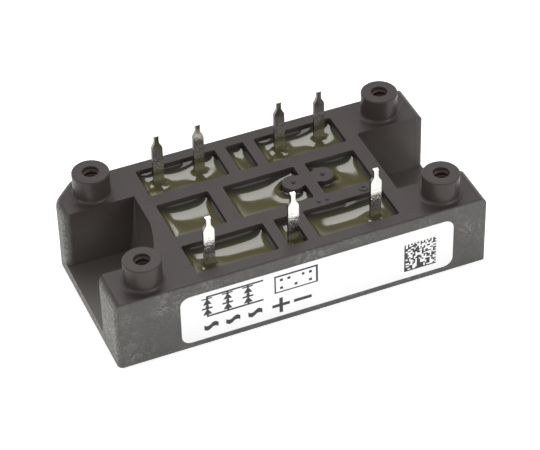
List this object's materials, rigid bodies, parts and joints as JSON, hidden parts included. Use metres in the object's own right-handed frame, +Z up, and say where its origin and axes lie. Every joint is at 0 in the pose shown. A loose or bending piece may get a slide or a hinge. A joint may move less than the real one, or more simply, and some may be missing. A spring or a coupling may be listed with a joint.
{
  "type": "bridge rectifier",
  "caption": "Three-phase bridge rectifier module: moulded housing over a ceramic substrate, solder pins rising from gel-filled windows, board posts and end notches for screws.",
  "frame": {"origin": "centre of the cooling face, on the plane the module stands on", "axes": "+Z up through the pins, +X along the housing with the keyed corner at the -X end, +Y towards the long side without the label"},
  "size_m": [0.063, 0.0317, 0.021],
  "materials": {
    "housing_plastic": "satin glass-filled moulding with faint flow marks",
    "label_film": "smooth white label",
    "silicone_gel": "clear soft gel with an amber tint and a wet surface",
    "copper": "bare rolled copper",
    "alumina": "fired white ceramic",
    "adhesive": "cured sealing adhesive",
    "solder": "dull solder",
    "silicon": "metallised silicon die",
    "wire_aluminium": "bare bond wire",
    "tinned_metal": "tin plated, with draw marks along the pin"
  },
  "bodies": {
    "root": {"housing": "housing_plastic", "label": "label_film", "gel": "silicone_gel", "base_copper": "copper", "ceramic_plate": "alumina", "base_adhesive": "adhesive", "island_input_1": "copper", "island_input_2": "copper", "island_input_3": "copper", "island_plus": "copper", "island_minus": "copper", "die_solder": "solder", "pin_solder": "solder", "diode_1": "silicon", "diode_2": "silicon", "diode_3": "silicon", "diode_4": "silicon", "diode_5": "silicon", "diode_6": "silicon", "bond_wires_1": "wire_aluminium", "bond_wires_2": "wire_aluminium", "bond_wires_3": "wire_aluminium", "bond_wires_4": "wire_aluminium", "bond_wires_5": "wire_aluminium", "bond_wires_6": "wire_aluminium", "pin_input_1": "tinned_metal", "pin_input_2": "tinned_metal", "pin_input_3": "tinned_metal", "pin_plus_1": "tinned_metal", "pin_plus_2": "tinned_metal", "pin_minus_1": "tinned_metal", "pin_minus_2": "tinned_metal"}
  },
  "joints": []
}
